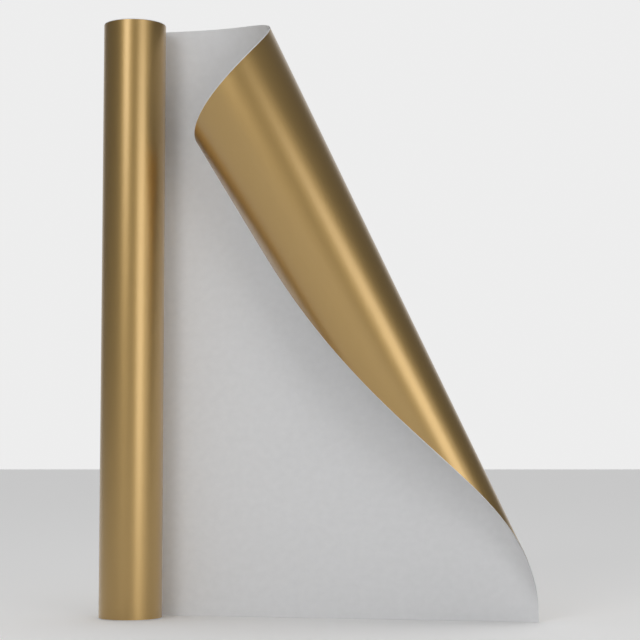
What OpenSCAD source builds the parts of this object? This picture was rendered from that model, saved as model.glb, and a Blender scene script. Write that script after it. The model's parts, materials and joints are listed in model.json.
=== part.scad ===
// Roll of sign vinyl: a paper core with a continuous three-layer web wound on it, face film outward.
// The last stretch of the web is off the roll, standing on its lower edge, and its upper far corner
// curls back over the liner side as a slow cone.
//
// Axes: Z is the axis of the core, X is the way the free web runs, and the liner faces -Y.
// The origin is the middle of the core's bore at its lower end.

/* [Web] */
// Width of the web and length of the core
web_width = 304.8; // [150:0.1:610]
// Length of the whole web, wound and free
web_length = 914.4; // [600:0.1:2000]
// Thickness of the coloured face film
film_t = 0.075; // [0.05:0.005:0.15]
// Thickness of the pressure-sensitive adhesive
adhesive_t = 0.02; // [0.015:0.005:0.04]
// Thickness of the paper release liner
liner_t = 0.12; // [0.08:0.005:0.2]

/* [Core] */
// Diameter of the bore of the paper core
core_bore = 25.4; // [20:0.1:38.1]
// Wall of the paper core
core_wall = 1; // [1:0.1:3]
// Thickness of the tape that starts the web on the core
tape_t = 0.08; // [0.05:0.01:0.1]
// Part of the core's circumference under the tape, in degrees
tape_span = 70; // [30:5:120]

/* [Free web] */
// Length of the web that is off the roll
free_length = 204.8; // [190:0.1:215]
// Angle by which the free web leaves the roll towards the liner side
lead_angle = 10.4; // [0:0.1:20]
// Length of the strip that stays at the roll as the rest feeds out
lead_length = 6; // [3:0.5:10]
// Gap between the wound web and the free web, so that the roll can turn
lead_gap = 0.1; // [0.05:0.05:0.3]

/* [Curl] */
// Distance along the top edge at which the web starts to bend
bend_start = 15.8; // [8:0.1:20]
// Cone apex of the first bend, along the web
apex_s = 260; // [250:0.5:275]
// Cone apex of the first bend, above the lower edge (below it when negative)
apex_z = -98; // [-120:0.5:-85]
// Angles from upright of the curl's fold lines, after the one through the lower corner
folds = [25.2, 22.8, 20.3, 18.2, 15.9];
// Step down of the cone apex along each of those fold lines
apex_steps = [147.5, 0, 75.5, 0, 0];
// How sharply the web bends, from the first ruling to the last: distance from the apex over bend radius
bend = [0, 12, 19.5, 21.5, 19.5, 17.5];

/* [Hidden] */
$fn = 96;
web_t = film_t + adhesive_t + liner_t;
core_r = core_bore / 2 + core_wall;

// The wound spiral: its inner radius, its turns for the wound length, and its outer radius
wrap_steps = 36;
wrap_inner_r = core_r + tape_t + 0.07;
wound_length = web_length - free_length;
wrap_b = wrap_inner_r + web_t / 2;
wrap_turns = (sqrt(wrap_b * wrap_b + web_t * wound_length / PI) - wrap_b) / web_t;
wrap_count = floor(wrap_turns * wrap_steps);
roll_r = wrap_inner_r + web_t * (wrap_count / wrap_steps + 1);
wrap_from = 90 - lead_angle;

// The free web's own directions: along it, up, and from the film towards the liner side
along = [cos(lead_angle), -sin(lead_angle), 0];
up = [0, 0, 1];
inward = [-sin(lead_angle), -cos(lead_angle), 0];
// Where the back of the free web leaves the roll
lead_off = -(roll_r + web_t + lead_gap) * inward;
// Gap at the cut between two bodies of the web, to each side of the cut
cut_gap = 0.05;

// The stretches of the bent web: 0 is the sheet's own, and the curl's follow, from one fold line to the next
curl_parts = len(folds) + 1;

// The cone apex of a stretch, in the flat web: it steps down along the fold line that the stretch starts at
function apex(k) =
    k < 2 ? [apex_s, apex_z] : apex(k - 1) + apex_steps[k - 2] * [sin(folds[k - 2]), -cos(folds[k - 2])];

// Angles from upright of the first ruling, the one through the lower corner, and the last
ruling_first = atan2(apex_s - bend_start, web_width - apex_z);
ruling_corner = atan2(apex_s - free_length, -apex_z);
ruling_last = atan2(apex(curl_parts)[0] - free_length, web_width - apex(curl_parts)[1]) + 0.05;

// The rulings of a stretch, which start and end on fold lines
bounds = concat([ruling_first, ruling_corner], folds, [ruling_last]);
steps = 10;
function rulings(k) = [for (i = [0:steps]) bounds[k] + (bounds[k + 1] - bounds[k]) * i / steps];

// Bend at a ruling, read off the list evenly from the first ruling to the last
function bend_at(a) =
    let (x = (ruling_first - a) / (ruling_first - ruling_last) * (len(bend) - 1),
         i = max(0, min(len(bend) - 2, floor(x))))
    bend[i] + (bend[i + 1] - bend[i]) * (x - i);

// A frame is [along the ruling, across it, out of the liner side]. Going on to the next ruling turns
// it about its own normal by the step and about the ruling by the bend times the step.
function across_step(f, a) = [f[0] * cos(a) + f[1] * sin(a), f[1] * cos(a) - f[0] * sin(a), f[2]];
function bend_step(f, a) = [f[0], f[1] * cos(a) + f[2] * sin(a), f[2] * cos(a) - f[1] * sin(a)];
function next_frame(f, a, b) = bend_step(across_step(f, a - b), bend_at((a + b) / 2) * (a - b));
function frames(rulings, f0) =
    [for (i = 0, f = f0; i < len(rulings);
          i = i + 1, f = i < len(rulings) ? next_frame(f, rulings[i - 1], rulings[i]) : f) f];

// The frame and the apex point that each stretch starts with
function flat_point(s, z) = lead_off + s * along + z * up;
first_frame = [cos(ruling_first) * up - sin(ruling_first) * along,
               cos(ruling_first) * along + sin(ruling_first) * up,
               inward];
function start_frame(k) =
    k == 0 ? first_frame : let (turned = frames(rulings(k - 1), start_frame(k - 1))) turned[steps];
function apex_point(k) =
    k < 2 ? flat_point(apex_s, apex_z) : apex_point(k - 1) - apex_steps[k - 2] * start_frame(k)[0];

// The two ends of a ruling, as distances from its apex: at the top edge, and at the lower or end edge
function to_top(from, a) = (web_width - from[1]) / cos(a);
function to_foot(from, a) = max(-from[1] / cos(a), (from[0] - free_length) / sin(a));

// The stations of a stretch: [foot point, top point, normal] at each ruling
function stations(k) =
    let (angles = rulings(k), turned = frames(angles, start_frame(k)), origin = apex_point(k))
    [for (i = [0:steps])
        let (f = turned[i],
             from_fold = k > 0 && i == 0 ? cut_gap : i == steps ? -cut_gap : 0)
        [origin + to_foot(apex(k), angles[i]) * f[0] + from_fold * f[1],
         origin + to_top(apex(k), angles[i]) * f[0] + from_fold * f[1],
         f[2]]];

sheet_start = [flat_point(lead_length + cut_gap, 0), flat_point(lead_length + cut_gap, web_width), inward];
sheet_stations = concat([sheet_start], stations(0));

// Layers of the web as [near, far] distances from the back of the film
film_layer = [0, film_t];
adhesive_layer = [film_t, film_t + adhesive_t];
liner_layer = [film_t + adhesive_t, web_t];

film_colour = "#B08D57";
adhesive_colour = "#E9E2CF";
liner_colour = "#D9D9D6";
core_colour = "#B79268";
tape_colour = "#E3D9A8";

function curl_name(k, layer_name) = str("curl_", k, "_", layer_name);

// A point on the spiral, at a distance in from the outer face of its turn
function spiral_point(i, depth) =
    let (r = roll_r - web_t * i / wrap_steps - depth, a = wrap_from + 360 * i / wrap_steps)
    [r * cos(a), r * sin(a)];

// One layer of the wound web
module wound_layer(layer) {
    linear_extrude(web_width)
        polygon(concat([for (i = [0:wrap_count]) spiral_point(i, layer[0])],
                       [for (i = [wrap_count:-1:0]) spiral_point(i, layer[1])]));
}

// One layer of the strip between the roll and the sheet
module lead_layer(layer) {
    rotate([0, 0, -lead_angle])
        translate([0, roll_r + web_t + lead_gap - layer[1], 0])
            cube([lead_length - cut_gap, layer[1] - layer[0], web_width]);
}

// One layer of a bent stretch: a closed shell over its stations. Both faces are cut along the same
// diagonals, so the layers lie on each other exactly.
module bent_layer(stations, layer) {
    n = len(stations);
    // Corners of a station: film side foot 0 and top 1, liner side foot 2 and top 3
    points = [for (s = stations) for (d = layer) for (e = [0, 1]) s[e] + d * s[2]];
    start_cap = [[0, 1, 3], [0, 3, 2]];
    walls = [for (i = [0:n - 2]) let (p = 4 * i, q = p + 4) each
        [[p, q, p + 1], [p + 1, q, q + 1],
         [p + 3, q + 3, q + 2], [p + 3, q + 2, p + 2],
         [p + 1, q + 1, p + 3], [p + 3, q + 1, q + 3],
         [p + 2, q + 2, p], [p, q + 2, q]]];
    last = 4 * n - 4;
    end_cap = [[last, last + 2, last + 3], [last, last + 3, last + 1]];
    polyhedron(points, concat(start_cap, walls, end_cap));
}

module core_tube() {
    color(core_colour)
        difference() {
            cylinder(h = web_width, r = core_r);
            translate([0, 0, -1]) cylinder(h = web_width + 2, d = core_bore);
        }
}

// The tape lies on the core, half under the inner end of the web
module start_tape() {
    tape_from = wrap_from + 360 * wrap_count / wrap_steps - tape_span / 2;
    color(tape_colour)
        rotate([0, 0, tape_from])
            rotate_extrude(angle = tape_span)
                translate([core_r, 0]) square([tape_t, web_width]);
}

module wound_film() { color(film_colour) wound_layer(film_layer); }
module wound_adhesive() { color(adhesive_colour) wound_layer(adhesive_layer); }
module wound_liner() { color(liner_colour) wound_layer(liner_layer); }

module lead_film() { color(film_colour) lead_layer(film_layer); }
module lead_adhesive() { color(adhesive_colour) lead_layer(adhesive_layer); }
module lead_liner() { color(liner_colour) lead_layer(liner_layer); }

module sheet_film() { color(film_colour) bent_layer(sheet_stations, film_layer); }
module sheet_adhesive() { color(adhesive_colour) bent_layer(sheet_stations, adhesive_layer); }
module sheet_liner() { color(liner_colour) bent_layer(sheet_stations, liner_layer); }

module curl_film(k) { color(film_colour) bent_layer(stations(k), film_layer); }
module curl_adhesive(k) { color(adhesive_colour) bent_layer(stations(k), adhesive_layer); }
module curl_liner(k) { color(liner_colour) bent_layer(stations(k), liner_layer); }

core_tube();
start_tape();
wound_film();
wound_adhesive();
wound_liner();
lead_film();
lead_adhesive();
lead_liner();
sheet_film();
sheet_adhesive();
sheet_liner();
for (k = [1:curl_parts]) {
    curl_film(k);
    curl_adhesive(k);
    curl_liner(k);
}
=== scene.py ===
import json
import math

import bpy
import numpy as np
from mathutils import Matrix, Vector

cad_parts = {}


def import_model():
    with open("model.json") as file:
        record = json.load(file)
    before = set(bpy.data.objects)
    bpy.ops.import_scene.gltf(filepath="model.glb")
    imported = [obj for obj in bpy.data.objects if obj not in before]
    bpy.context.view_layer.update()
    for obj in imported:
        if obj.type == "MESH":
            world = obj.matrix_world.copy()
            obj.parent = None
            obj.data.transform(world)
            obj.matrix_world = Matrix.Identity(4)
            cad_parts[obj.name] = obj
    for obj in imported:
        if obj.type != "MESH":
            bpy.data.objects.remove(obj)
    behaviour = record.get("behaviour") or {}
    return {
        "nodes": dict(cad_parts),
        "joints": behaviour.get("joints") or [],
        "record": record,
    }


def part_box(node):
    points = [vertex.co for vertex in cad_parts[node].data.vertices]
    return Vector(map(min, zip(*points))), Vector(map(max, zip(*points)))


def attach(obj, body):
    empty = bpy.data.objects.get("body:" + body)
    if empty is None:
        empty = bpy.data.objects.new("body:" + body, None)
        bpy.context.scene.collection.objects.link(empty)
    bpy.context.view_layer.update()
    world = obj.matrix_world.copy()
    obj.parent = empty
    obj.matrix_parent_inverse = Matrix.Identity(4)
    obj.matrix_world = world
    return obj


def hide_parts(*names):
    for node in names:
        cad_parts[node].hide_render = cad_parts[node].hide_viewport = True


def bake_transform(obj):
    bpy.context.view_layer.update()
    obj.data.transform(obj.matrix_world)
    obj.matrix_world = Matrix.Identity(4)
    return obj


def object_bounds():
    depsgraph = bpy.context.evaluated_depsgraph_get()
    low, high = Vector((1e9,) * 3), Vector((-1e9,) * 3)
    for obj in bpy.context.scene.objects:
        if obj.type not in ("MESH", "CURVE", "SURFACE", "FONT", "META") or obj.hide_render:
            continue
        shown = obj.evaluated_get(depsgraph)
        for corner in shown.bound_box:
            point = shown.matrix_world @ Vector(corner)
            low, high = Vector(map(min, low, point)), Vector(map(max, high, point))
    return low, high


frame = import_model()
cad_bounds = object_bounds()

# ---------------------------------------------------------------- sizes, in metres and degrees
MM = 0.001
joints = {j["name"]: j for j in frame["joints"]}
mounts = {m["name"]: m for m in frame["record"]["mounts"]}

# The web, layer by layer, each as [near, far] distances in from the back of the film
WEB_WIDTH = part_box("core_tube")[1].z
WEB_LENGTH = 914.4 * MM
FILM_T, ADHESIVE_T, LINER_T = 0.075 * MM, 0.02 * MM, 0.12 * MM
WEB_T = FILM_T + ADHESIVE_T + LINER_T
LAYERS = {
    "film": (0.0, FILM_T),
    "adhesive": (FILM_T, FILM_T + ADHESIVE_T),
    "liner": (FILM_T + ADHESIVE_T, WEB_T),
}
# The knife leaves the liner standing a little past the film along every cut edge
EDGE_INSET = {"film": 0.35 * MM, "adhesive": 0.38 * MM, "liner": 0.0}

# The roll
BORE_R = mounts["core_bore"]["dims"]["r_mm"] * MM
CORE_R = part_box("core_tube")[1].x
WOUND_INNER_R = CORE_R + 0.15 * MM
FREE_LENGTH = 204.8 * MM
LEAD_GAP = 0.1 * MM

# The free web's directions: along it, up, and from the film to the liner side
ALONG = np.array(joints["web_feed"]["axis"])
UP = np.array([0.0, 0.0, 1.0])
INWARD = np.array([ALONG[1], -ALONG[0], 0.0])
LEAVES_AT = math.degrees(math.atan2(ALONG[0], -ALONG[1]))

# The curl, as in the frame's design: cone apexes in the flat web, fold lines and bend
APEX = (260 * MM, -98 * MM)
BEND_START = 15.8 * MM
FOLDS = [25.2, 22.8, 20.3, 18.2, 15.9]
APEX_STEPS = [147.5 * MM, 0, 75.5 * MM, 0, 0]
BEND = [0, 12, 19.5, 21.5, 19.5, 17.5]
CURL_PARTS = len(FOLDS) + 1
# The strip between the roll and the sheet
FEED_START, FEED_END = 4 * MM, 14.2 * MM

# Mesh fineness
COLUMNS_PER_STRETCH = 40
ROWS = 24
WRAP_STEP = 3.0
SHARP_ANGLE = math.radians(40)
# How much of a turn the outermost web goes round the roll, in degrees
WRAP_TURN = 350


def wound_turns():
    """Turns on the core, from the length of web on it, as the frame's design counts them."""
    mean_r = WOUND_INNER_R + WEB_T / 2
    length = WEB_LENGTH - FREE_LENGTH
    exact = (math.sqrt(mean_r**2 + WEB_T * length / math.pi) - mean_r) / WEB_T
    return math.floor(exact * 36) / 36


WOUND_TURNS = wound_turns()
ROLL_R = WOUND_INNER_R + WEB_T * (WOUND_TURNS + 1)
WRAP_R = ROLL_R + LEAD_GAP + WEB_T
LEAD_OFF = -WRAP_R * INWARD


# ---------------------------------------------------------------- the web's shape
def apexes():
    """The cone apex of each stretch, in the flat web. Stretch 0 is the sheet's own."""
    found = [np.array(APEX), np.array(APEX)]
    for fold, step in zip(FOLDS, APEX_STEPS):
        a = math.radians(fold)
        found.append(found[-1] + step * np.array([math.sin(a), -math.cos(a)]))
    return found


APEXES = apexes()


def stretch_bounds():
    """Ruling angles at which the stretches start and end."""
    s, z = APEXES[0]
    last_s, last_z = APEXES[-1]
    first = math.degrees(math.atan2(s - BEND_START, WEB_WIDTH - z))
    corner = math.degrees(math.atan2(s - FREE_LENGTH, -z))
    last = math.degrees(math.atan2(last_s - FREE_LENGTH, WEB_WIDTH - last_z)) + 0.05
    return [first, corner, *FOLDS, last]


BOUNDS = stretch_bounds()


def bend_at(angle):
    share = (BOUNDS[0] - angle) / (BOUNDS[0] - BOUNDS[-1])
    return np.interp(share * (len(BEND) - 1), range(len(BEND)), BEND)


def next_frame(f, a, b):
    """The frame [along the ruling, across it, liner side] at ruling b, from the one at ruling a."""
    s = math.radians(a - b)
    ruling = f[0] * math.cos(s) + f[1] * math.sin(s)
    across = f[1] * math.cos(s) - f[0] * math.sin(s)
    q = bend_at((a + b) / 2) * s
    return np.array([ruling, across * math.cos(q) + f[2] * math.sin(q),
                     f[2] * math.cos(q) - across * math.sin(q)])


class Column:
    """One line of the web from its foot to its top: where each of its flat points is, and its normal."""

    def __init__(self, foot, top, place, normal):
        self.foot, self.top, self.place, self.normal = foot, top, place, normal


def flat_place(flat):
    return LEAD_OFF + flat[:, :1] * ALONG + flat[:, 1:] * UP


def flat_column(foot_s, top_s, inset):
    foot = np.array([foot_s, inset])
    top = np.array([top_s, WEB_WIDTH - inset])
    return Column(foot, top, flat_place, INWARD)


def ruling_column(k, angle, f, apex_point, inset):
    """The column along a ruling of stretch k, cut to the web's outline."""
    s, z = APEXES[k]
    a = math.radians(angle)
    away = np.array([-math.sin(a), math.cos(a)])
    to_top = (WEB_WIDTH - inset - z) / math.cos(a)
    to_foot = max((inset - z) / math.cos(a), (s - FREE_LENGTH + inset) / math.sin(a))
    apex = APEXES[k]

    def place(flat):
        return apex_point + np.linalg.norm(flat - apex, axis=1)[:, None] * f[0]

    return Column(apex + to_foot * away, apex + to_top * away, place, f[2])


def bent_stretches(inset):
    """The columns of every stretch, and the frame that each stretch starts with."""
    first = math.radians(BOUNDS[0])
    f = np.array([math.cos(first) * UP - math.sin(first) * ALONG,
                  math.cos(first) * ALONG + math.sin(first) * UP, INWARD])
    apex_point = LEAD_OFF + APEX[0] * ALONG + APEX[1] * UP
    stretches, starts = [], []
    for k in range(CURL_PARTS + 1):
        if k > 1:
            apex_point = apex_point - APEX_STEPS[k - 2] * f[0]
        angles = np.linspace(BOUNDS[k], BOUNDS[k + 1], COLUMNS_PER_STRETCH + 1)
        columns = [ruling_column(k, angles[0], f, apex_point, inset)]
        starts.append(f)
        for a, b in zip(angles, angles[1:]):
            f = next_frame(f, a, b)
            columns.append(ruling_column(k, b, f, apex_point, inset))
        stretches.append(columns)
    return stretches, starts


def flat_columns(start_s, end_foot_s, end_top_s, count, inset):
    shares = np.linspace(0, 1, count + 1)
    return [flat_column(start_s + (end_foot_s - start_s) * u, start_s + (end_top_s - start_s) * u, inset)
            for u in shares]


def arc_column(s, inset):
    """A column of the turn round the roll: s is negative there."""
    turned = math.radians(LEAVES_AT) - s / WRAP_R
    out = np.array([math.cos(turned), math.sin(turned), 0.0])

    def place(flat):
        return WRAP_R * out + flat[:, 1:] * UP

    return Column(np.array([s, inset]), np.array([s, WEB_WIDTH - inset]), place, -out)


# ---------------------------------------------------------------- meshes
def smooth_mesh(name, points, faces, corner_normals, corner_uvs):
    """A mesh object with a normal and a flat-web coordinate at every face corner."""
    mesh = bpy.data.meshes.new(name)
    mesh.from_pydata([tuple(p) for p in points], [], faces)
    mesh.polygons.foreach_set("use_smooth", [True] * len(mesh.polygons))
    mesh.set_sharp_from_angle(angle=SHARP_ANGLE)
    uv = mesh.uv_layers.new(name="web")
    uv.data.foreach_set("uv", np.asarray(corner_uvs, np.float32).ravel())
    mesh.normals_split_custom_set([tuple(n) for n in corner_normals])
    piece = bpy.data.objects.new(name, mesh)
    bpy.context.scene.collection.objects.link(piece)
    return piece


def shell(name, columns, layer, rows=ROWS):
    """A closed shell: one layer of the web over its columns."""
    shares = np.linspace(0, 1, rows + 1)[:, None]
    flat = np.array([c.foot + shares * (c.top - c.foot) for c in columns])
    back = np.array([c.place(f) for c, f in zip(columns, flat)])
    normal = np.array([c.normal for c in columns])
    near, far = LAYERS[layer]
    count = len(columns)
    near_points = back + near * normal[:, None]
    far_points = back + far * normal[:, None]
    points = np.concatenate([near_points.reshape(-1, 3), far_points.reshape(-1, 3)])

    def at(side, i, j):
        return (side * count + i) * (rows + 1) + j

    faces, normals, uvs = [], [], []

    def add(corners, corner_normals):
        faces.append([at(*c) for c in corners])
        normals.extend(corner_normals)
        uvs.extend([flat[c[1], c[2]] for c in corners])

    for i in range(count - 1):
        for j in range(rows):
            add([(0, i, j), (0, i, j + 1), (0, i + 1, j + 1), (0, i + 1, j)],
                [-normal[i], -normal[i], -normal[i + 1], -normal[i + 1]])
            add([(1, i, j), (1, i + 1, j), (1, i + 1, j + 1), (1, i, j + 1)],
                [normal[i], normal[i + 1], normal[i + 1], normal[i]])
    for j, inner in ((0, 1), (rows, rows - 1)):
        for i in range(count - 1):
            ring = [(0, i, j), (0, i + 1, j), (1, i + 1, j), (1, i, j)]
            if not j:
                ring = ring[::-1]
            add(ring, [unit(back[c[1], j] - back[c[1], inner]) for c in ring])
    for i, inner in ((0, 1), (count - 1, count - 2)):
        for j in range(rows):
            ring = [(0, i, j), (1, i, j), (1, i, j + 1), (0, i, j + 1)]
            if i:
                ring = ring[::-1]
            away = unit(back[i, j] - back[inner, j])
            add(ring, [away] * 4)
    return smooth_mesh(name, points, faces, normals, uvs)


def unit(v):
    return v / max(np.linalg.norm(v), 1e-12)


# ---------------------------------------------------------------- materials
def new_material(name):
    material = bpy.data.materials.new(name)
    material.use_nodes = True
    nodes = material.node_tree.nodes
    return material, nodes, material.node_tree.links, nodes["Principled BSDF"]


def noise(nodes, links, coordinate, scale, detail=2.0, stretch=(1.0, 1.0, 1.0)):
    mapping = nodes.new("ShaderNodeMapping")
    mapping.inputs["Scale"].default_value = stretch
    texture = nodes.new("ShaderNodeTexNoise")
    texture.inputs["Scale"].default_value = scale
    texture.inputs["Detail"].default_value = detail
    links.new(coordinate, mapping.inputs["Vector"])
    links.new(mapping.outputs["Vector"], texture.inputs["Vector"])
    return texture.outputs["Fac"]


def ramp(nodes, links, value, low, high):
    """A colour between low and high as the value goes from 0.3 to 0.7."""
    found = nodes.new("ShaderNodeValToRGB")
    found.color_ramp.elements[0].position = 0.3
    found.color_ramp.elements[0].color = (*low, 1)
    found.color_ramp.elements[1].position = 0.7
    found.color_ramp.elements[1].color = (*high, 1)
    links.new(value, found.inputs["Fac"])
    return found.outputs["Color"]


def bump(nodes, links, height, distance, strength, normal=None):
    found = nodes.new("ShaderNodeBump")
    found.inputs["Distance"].default_value = distance
    found.inputs["Strength"].default_value = strength
    links.new(height, found.inputs["Height"])
    if normal:
        links.new(normal, found.inputs["Normal"])
    return found.outputs["Normal"]


def web_coordinate(nodes):
    found = nodes.new("ShaderNodeUVMap")
    found.uv_map = "web"
    return found.outputs["UV"]


def film_material():
    """Satin metallic vinyl: pigmented film with a fine flake, an orange-peel surface and a clear top."""
    material, nodes, links, shader = new_material("gold_film")
    web = web_coordinate(nodes)
    flake = noise(nodes, links, web, 4200, 1)
    gold = ramp(nodes, links, flake, (0.495, 0.322, 0.112), (0.535, 0.349, 0.124))
    links.new(gold, shader.inputs["Base Color"])
    peel = noise(nodes, links, web, 900, 2)
    drawn = noise(nodes, links, web, 60, 2, (1.0, 0.08, 1.0))
    links.new(bump(nodes, links, peel, 0.02 * MM, 0.25), shader.inputs["Normal"])
    rough = nodes.new("ShaderNodeMapRange")
    rough.inputs["To Min"].default_value = 0.38
    rough.inputs["To Max"].default_value = 0.42
    links.new(drawn, rough.inputs["Value"])
    links.new(rough.outputs["Result"], shader.inputs["Roughness"])
    shader.inputs["Metallic"].default_value = 1.0
    shader.inputs["Coat Weight"].default_value = 1.0
    shader.inputs["Coat Roughness"].default_value = 0.26
    shader.inputs["Coat IOR"].default_value = 1.5
    return material


def liner_material():
    """Clay-coated release paper: nearly white, with fibre mottle and a fine tooth."""
    material, nodes, links, shader = new_material("liner_paper")
    web = web_coordinate(nodes)
    mottle = noise(nodes, links, web, 260, 5)
    paper = ramp(nodes, links, mottle, (0.80, 0.805, 0.815), (0.83, 0.835, 0.845))
    links.new(paper, shader.inputs["Base Color"])
    tooth = noise(nodes, links, web, 3000, 3)
    links.new(bump(nodes, links, tooth, 0.02 * MM, 0.3), shader.inputs["Normal"])
    shader.inputs["Roughness"].default_value = 0.62
    shader.inputs["Specular IOR Level"].default_value = 0.35
    return material


def adhesive_material():
    material, nodes, links, shader = new_material("clear_adhesive")
    smear = noise(nodes, links, web_coordinate(nodes), 400, 2)
    clear = ramp(nodes, links, smear, (0.72, 0.66, 0.52), (0.80, 0.75, 0.62))
    links.new(clear, shader.inputs["Base Color"])
    shader.inputs["Roughness"].default_value = 0.35
    return material


def object_coordinate(nodes):
    return nodes.new("ShaderNodeTexCoord").outputs["Object"]


def core_material():
    """Kraft paper board: long fibres, darker flecks."""
    material, nodes, links, shader = new_material("kraft_board")
    place = object_coordinate(nodes)
    fibre = noise(nodes, links, place, 900, 4, (1.0, 1.0, 0.12))
    kraft = ramp(nodes, links, fibre, (0.36, 0.235, 0.135), (0.50, 0.345, 0.205))
    links.new(kraft, shader.inputs["Base Color"])
    links.new(bump(nodes, links, fibre, 0.1 * MM, 0.4), shader.inputs["Normal"])
    shader.inputs["Roughness"].default_value = 0.85
    shader.inputs["Specular IOR Level"].default_value = 0.25
    return material


def tape_material():
    material, nodes, links, shader = new_material("paper_tape")
    crepe = noise(nodes, links, object_coordinate(nodes), 1500, 3, (1.0, 1.0, 0.3))
    masking = ramp(nodes, links, crepe, (0.66, 0.58, 0.36), (0.76, 0.69, 0.46))
    links.new(masking, shader.inputs["Base Color"])
    links.new(bump(nodes, links, crepe, 0.05 * MM, 0.4), shader.inputs["Normal"])
    shader.inputs["Roughness"].default_value = 0.6
    return material


MATERIALS = {
    "film": film_material(),
    "adhesive": adhesive_material(),
    "liner": liner_material(),
    "core": core_material(),
    "tape": tape_material(),
}


def finish_piece(piece, slot_name):
    piece.data.materials.append(MATERIALS[slot_name])


# ---------------------------------------------------------------- the web's pieces
def wrap_piece(layer):
    """The outermost turn and the strip where the web leaves the roll: it goes round with the lead."""
    inset = EDGE_INSET[layer]
    arc_length = math.radians(WRAP_TURN) * WRAP_R
    arc = [arc_column(s, inset) for s in np.linspace(-arc_length, 0, 176)[:-1]]
    strip = flat_columns(0, FEED_START, FEED_START, 2, inset)
    columns = arc + strip
    piece = shell(f"{layer}_wrap", columns, layer)
    finish_piece(piece, layer)
    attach(piece, "lead")
    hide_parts(f"lead_{layer}")


def feed_piece(layer):
    """The strip between the roll and the sheet."""
    columns = flat_columns(FEED_START, FEED_END, FEED_END, 18, EDGE_INSET[layer])
    piece = shell(f"{layer}_feed", columns, layer)
    finish_piece(piece, layer)
    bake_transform(piece)


def fold_blend(k, stretches, starts):
    """Start and end points of the bend across fold line k: as wide as its narrow end leaves room for."""
    fold = stretches[k][0]
    foot = fold.place(fold.foot[None])[0]
    top = fold.place(fold.top[None])[0]
    half = COLUMNS_PER_STRETCH // 2
    room = []
    for column in (stretches[k - 1][-1 - half if k > 1 else 0], stretches[k][half]):
        other = column.place(column.foot[None])[0]
        room.append(abs(float(np.dot(other - foot, starts[k][1]))))
    reach = 0.92 * min(room)
    middle = (foot + top) / 2
    return tuple(middle - reach * starts[k][1]), tuple(middle + reach * starts[k][1])


def curl_pieces(layer):
    """The sheet and the curl, one piece over each fold line, from mid-stretch to mid-stretch."""
    inset = EDGE_INSET[layer]
    stretches, starts = bent_stretches(inset)
    half = COLUMNS_PER_STRETCH // 2
    first = stretches[0][0]
    sheet = flat_columns(FEED_END, first.foot[0], first.top[0], 40, inset)
    for k in range(1, CURL_PARTS + 1):
        before = stretches[k - 1][half:] if k > 1 else sheet[:-1] + stretches[0]
        after = stretches[k][1:half + 1] if k < CURL_PARTS else stretches[k][1:]
        columns = before + after
        body_a = "sheet" if k == 1 else f"curl_{k - 1}"
        piece = shell(f"{layer}_{body_a}", columns, layer)
        finish_piece(piece, layer)
        start, end = fold_blend(k, stretches, starts)
        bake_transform(piece)
        replaced = [f"{body_a}_{layer}"] + ([f"curl_{k}_{layer}"] if k == CURL_PARTS else [])
        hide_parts(*replaced)


# ---------------------------------------------------------------- the roll
def wound_piece(layer):
    """One layer of the wound web: a true spiral, its ends a little uneven from turn to turn."""
    steps = round(WOUND_TURNS * 360 / WRAP_STEP)
    random = np.random.default_rng(7)
    uneven = random.uniform(0.0, 0.22 * MM, math.ceil(WOUND_TURNS) + 2)
    columns = []
    for i in range(steps + 1):
        turns = i * WRAP_STEP / 360
        angle = math.radians(LEAVES_AT + i * WRAP_STEP)
        lift = float(np.interp(turns, range(len(uneven)), uneven))
        out = np.array([math.cos(angle), math.sin(angle), 0.0])
        radius = ROLL_R - WEB_T * turns
        columns.append(spiral_column(-turns, radius, out, lift, EDGE_INSET[layer]))
    piece = shell(f"{layer}_wound", columns, layer, rows=2)
    finish_piece(piece, layer)
    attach(piece, "roll")
    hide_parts(f"wound_{layer}")


def spiral_column(turns, radius, out, lift, inset):
    around = turns * math.pi * (radius + ROLL_R)

    def place(flat):
        return radius * out + flat[:, 1:] * UP

    foot = np.array([around, inset + lift / 2])
    top = np.array([around, WEB_WIDTH - inset - lift])
    return Column(foot, top, place, -out)


def core_piece():
    """The core: a spirally wound board tube with the seam of its inner ply and softened ends."""
    around, along_z = 160, 240
    seam_pitch, seam_half, seam_depth = 62 * MM, 0.7 * MM, 0.16 * MM
    soften = 0.25 * MM
    angles = np.linspace(0, 2 * math.pi, around, endpoint=False)
    heights = np.linspace(soften, WEB_WIDTH - soften, along_z + 1)
    rings = []
    for z in heights:
        seam_at = angles / (2 * math.pi) * seam_pitch
        away = np.abs((z - seam_at + seam_pitch / 2) % seam_pitch - seam_pitch / 2)
        depth = seam_depth * np.clip(1 - away / seam_half, 0, 1)
        rings.append((BORE_R + depth, np.full(around, z)))
    ends = [(BORE_R + soften, WEB_WIDTH), (CORE_R - soften, WEB_WIDTH), (CORE_R, WEB_WIDTH - soften),
            (CORE_R, soften), (CORE_R - soften, 0), (BORE_R + soften, 0)]
    for radius, z in ends:
        rings.append((np.full(around, radius), np.full(around, z)))
    points = np.concatenate([np.stack([r * np.cos(angles), r * np.sin(angles), z], 1) for r, z in rings])
    faces = []
    for i in range(len(rings)):
        for j in range(around):
            k, n = (i + 1) % len(rings), (j + 1) % around
            faces.append([i * around + j, k * around + j, k * around + n, i * around + n])
    mesh = bpy.data.meshes.new("core")
    mesh.from_pydata([tuple(p) for p in points], [], faces)
    mesh.polygons.foreach_set("use_smooth", [True] * len(faces))
    mesh.set_sharp_from_angle(angle=math.radians(30))
    piece = bpy.data.objects.new("core", mesh)
    bpy.context.scene.collection.objects.link(piece)
    finish_piece(piece, "core")
    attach(piece, "roll")
    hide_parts("core_tube")


def tape_node():
    """The start tape keeps its CAD shape."""
    node = frame["nodes"]["start_tape"]
    node.data.materials.clear()
    node.data.materials.append(MATERIALS["tape"])


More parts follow.
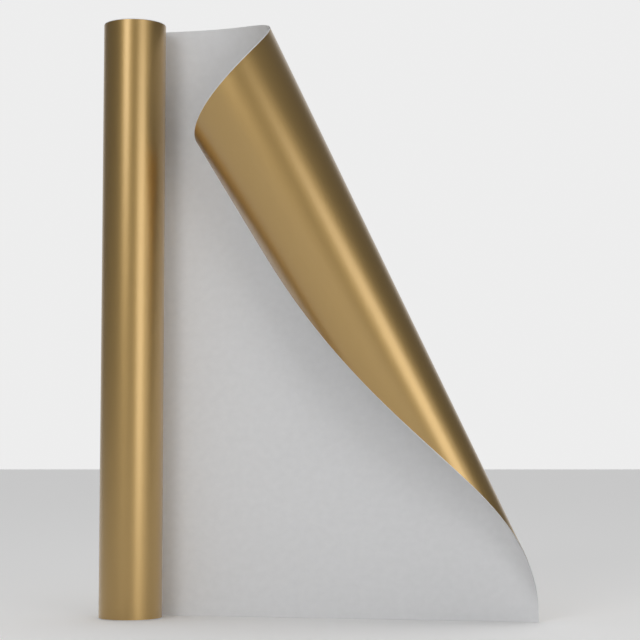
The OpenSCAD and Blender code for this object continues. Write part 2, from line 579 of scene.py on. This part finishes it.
# ---------------------------------------------------------------- stage, camera and light
def stage():
    bpy.ops.mesh.primitive_plane_add(size=12, location=(0, 0, cad_bounds[0].z - 0.05 * MM))
    floor = bpy.context.object
    floor.name = "floor"
    material, _, _, shader = new_material("pale_floor")
    shader.inputs["Base Color"].default_value = (0.9, 0.9, 0.9, 1)
    shader.inputs["Roughness"].default_value = 0.9
    shader.inputs["Specular IOR Level"].default_value = 0.0
    floor.data.materials.append(material)


def camera():
    data = bpy.data.cameras.new("camera")
    data.sensor_width = 36
    data.lens = 94.535
    data.clip_start = 0.01
    data.clip_end = 50
    eye = bpy.data.objects.new("camera", data)
    eye.location = (0.096175, -0.860709, 0.085718)
    eye.rotation_euler = (math.radians(90 + 4.363), 0, 0)
    bpy.context.scene.collection.objects.link(eye)
    bpy.context.scene.camera = eye


AIM = np.array([0.09, 0.0, 0.15])
LAMP_DISTANCE = 1.5
# Strengths of the room, of what the ceiling and the backdrop add to it, and of the background in view
ROOM, CEILING, BACKDROP, BACKGROUND = 0.15, 1.6, 0.6, 0.85


def softbox(name, azimuth, elevation, width, height, power):
    """A rectangular light facing the part, at an azimuth to the right of the camera's side."""
    data = bpy.data.lights.new(name, "AREA")
    data.shape = "RECTANGLE"
    data.size, data.size_y = width, height
    data.energy = power
    lamp = bpy.data.objects.new(name, data)
    a, e = math.radians(azimuth), math.radians(elevation)
    out = np.array([math.sin(a) * math.cos(e), -math.cos(a) * math.cos(e), math.sin(e)])
    lamp.location = tuple(AIM + LAMP_DISTANCE * out)
    lamp.rotation_euler = (math.radians(90) - e, 0, a)
    bpy.context.scene.collection.objects.link(lamp)


def soft_step(nodes, links, value, start, end, strength):
    """Light that rises smoothly from nothing at start to strength at end."""
    step = nodes.new("ShaderNodeMapRange")
    step.interpolation_type = "SMOOTHSTEP"
    step.inputs["From Min"].default_value = start
    step.inputs["From Max"].default_value = end
    step.inputs["To Max"].default_value = strength
    links.new(value, step.inputs["Value"])
    return step.outputs["Result"]


def added(nodes, links, first, second):
    total = nodes.new("ShaderNodeMath")
    total.operation = "ADD"
    links.new(first, total.inputs[0])
    if isinstance(second, float):
        total.inputs[1].default_value = second
    else:
        links.new(second, total.inputs[1])
    return total.outputs[0]


def world():
    """A soft room with a bright ceiling and a pale backdrop beyond the part, the same for every piece.

    The camera itself sees an even pale background from every side.
    """
    scene_world = bpy.data.worlds.new("studio")
    bpy.context.scene.world = scene_world
    scene_world.use_nodes = True
    nodes, links = scene_world.node_tree.nodes, scene_world.node_tree.links
    nodes.clear()
    room, seen = nodes.new("ShaderNodeBackground"), nodes.new("ShaderNodeBackground")
    for background in (room, seen):
        background.inputs["Color"].default_value = (1, 1, 1, 1)
    seen.inputs["Strength"].default_value = BACKGROUND
    split = nodes.new("ShaderNodeSeparateXYZ")
    links.new(nodes.new("ShaderNodeTexCoord").outputs["Generated"], split.inputs["Vector"])
    ceiling = soft_step(nodes, links, split.outputs["Z"], 0.75, 0.95, CEILING)
    backdrop = soft_step(nodes, links, split.outputs["Y"], 0.55, 0.95, BACKDROP)
    strength = added(nodes, links, added(nodes, links, ceiling, backdrop), ROOM)
    links.new(strength, room.inputs["Strength"])
    by_eye = nodes.new("ShaderNodeMixShader")
    links.new(nodes.new("ShaderNodeLightPath").outputs["Is Camera Ray"], by_eye.inputs[0])
    links.new(room.outputs[0], by_eye.inputs[1])
    links.new(seen.outputs[0], by_eye.inputs[2])
    links.new(by_eye.outputs[0], nodes.new("ShaderNodeOutputWorld").inputs["Surface"])


def lights():
    softbox("left_softbox", -27, 23, 0.48, 0.6, 3.5)
    softbox("right_softbox", 31, 8, 0.70, 0.7, 3.9)
    softbox("edge_softbox", 56, 6, 0.22, 0.6, 0.5)


camera()
for layer_name in LAYERS:
    wound_piece(layer_name)
    wrap_piece(layer_name)
    feed_piece(layer_name)
    curl_pieces(layer_name)
core_piece()
tape_node()
stage()
world()
lights()
bpy.context.scene.view_settings.view_transform = "Standard"
